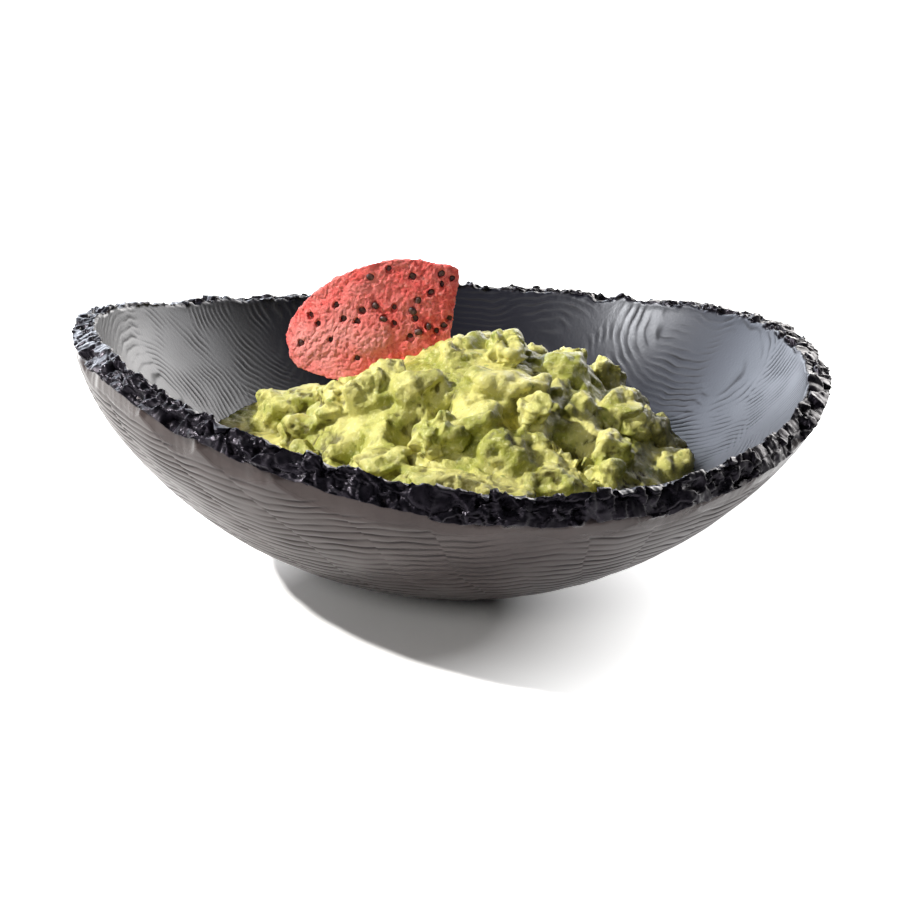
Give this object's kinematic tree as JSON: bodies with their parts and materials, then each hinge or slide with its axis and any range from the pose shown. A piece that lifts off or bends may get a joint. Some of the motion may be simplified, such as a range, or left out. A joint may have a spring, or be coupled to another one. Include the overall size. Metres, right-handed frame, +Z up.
{
  "type": "chip and dip server",
  "caption": "Thick black rough-rimmed serving bowl shaped like a slice of a sphere, filled with chunky avocado dip that carries one seeded red tortilla chip.",
  "frame": {"origin": "centre of the flat round base, on the table", "axes": "+Z up, X along the longer direction of the bowl with the highest tip of the rim at -X, -Y towards the low side of the rim, which is the side the user faces"},
  "size_m": [0.2786, 0.265, 0.1075],
  "materials": {
    "bowl_black": "semi-gloss cast resin, combed on both faces, glossy where the rim is broken",
    "mash": "wet and lumpy",
    "avocado": "moist and soft",
    "tortilla": "dry, porous and blistered",
    "seed": "matt"
  },
  "bodies": {
    "bowl": {"bowl_shell": "bowl_black"},
    "dip": {"guacamole": "mash", "avocado_chunks": "avocado"},
    "chip": {"tortilla_chip": "tortilla", "chip_seeds": "seed"}
  },
  "joints": [
    {"name": "dip_lift", "type": "slide", "parent": "bowl", "child": "dip", "axis": [0, 0, 1], "range_m": [0, 0.11]},
    {"name": "chip_draw", "type": "slide", "parent": "dip", "child": "chip", "axis": [0, 0.1392, 0.9903], "range_m": [0, 0.07]}
  ]
}
